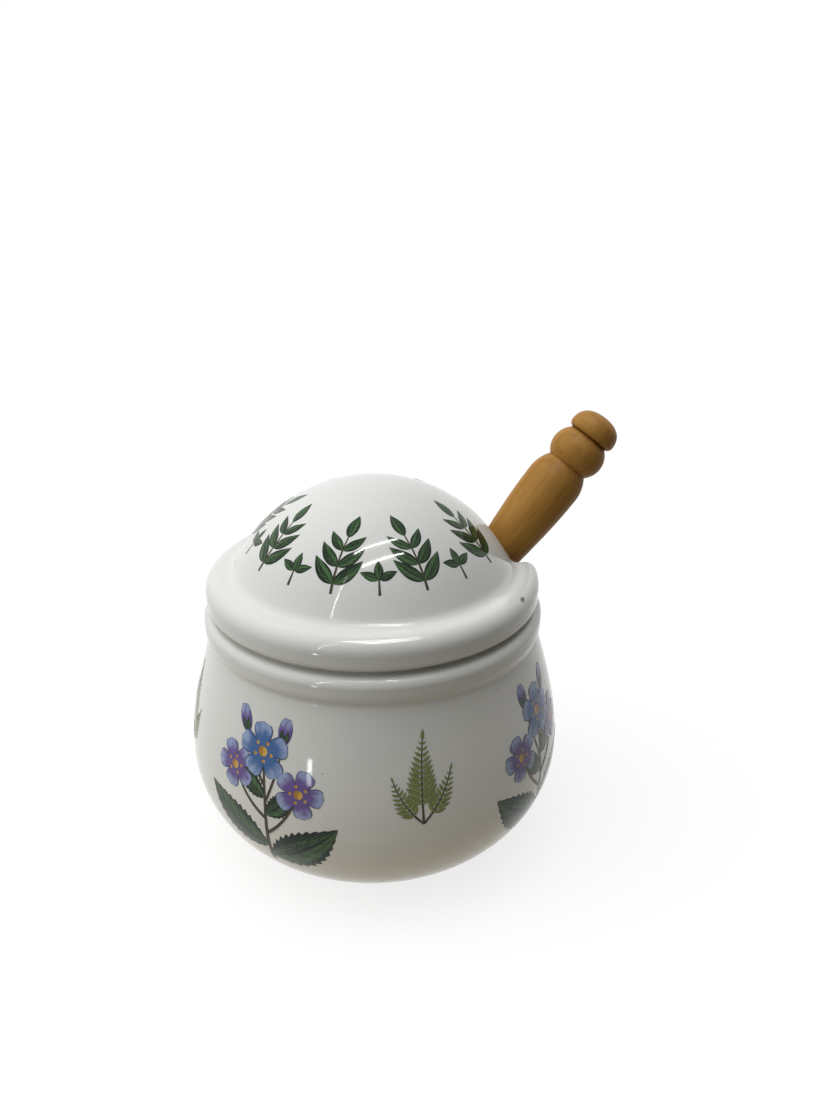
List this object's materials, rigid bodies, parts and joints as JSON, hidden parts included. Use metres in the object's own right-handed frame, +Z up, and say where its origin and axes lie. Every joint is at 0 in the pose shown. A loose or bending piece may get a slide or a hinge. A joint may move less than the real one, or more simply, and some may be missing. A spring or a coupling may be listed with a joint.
{
  "type": "honey pot",
  "caption": "Squat round glazed honey pot with a rolled collar, a domed lift-off lid with an open notch in its rim, and a turned wooden dipper leaning out through the notch.",
  "frame": {"origin": "middle of the foot ring, on the surface that the pot stands on", "axes": "+Z up along the pot's axis, +X towards the lid's notch and the side that the dipper leans to"},
  "size_m": [0.1162, 0.1, 0.1115],
  "materials": {
    "pot_glaze": "glossy white glaze",
    "lid_glaze": "glossy white glaze",
    "dipper_wood": "amber satin varnish"
  },
  "bodies": {
    "pot": {"pot_body": "pot_glaze"},
    "lid": {"lid": "lid_glaze"},
    "dipper": {"dipper": "dipper_wood"}
  },
  "joints": [
    {"name": "lid_lift", "type": "slide", "parent": "pot", "child": "lid", "axis": [0, 0, 1], "range_m": [0, 0.07]},
    {"name": "dipper_draw", "type": "slide", "parent": "pot", "child": "dipper", "axis": [0.6266, 0, 0.7793], "range_m": [0, 0.041]}
  ]
}
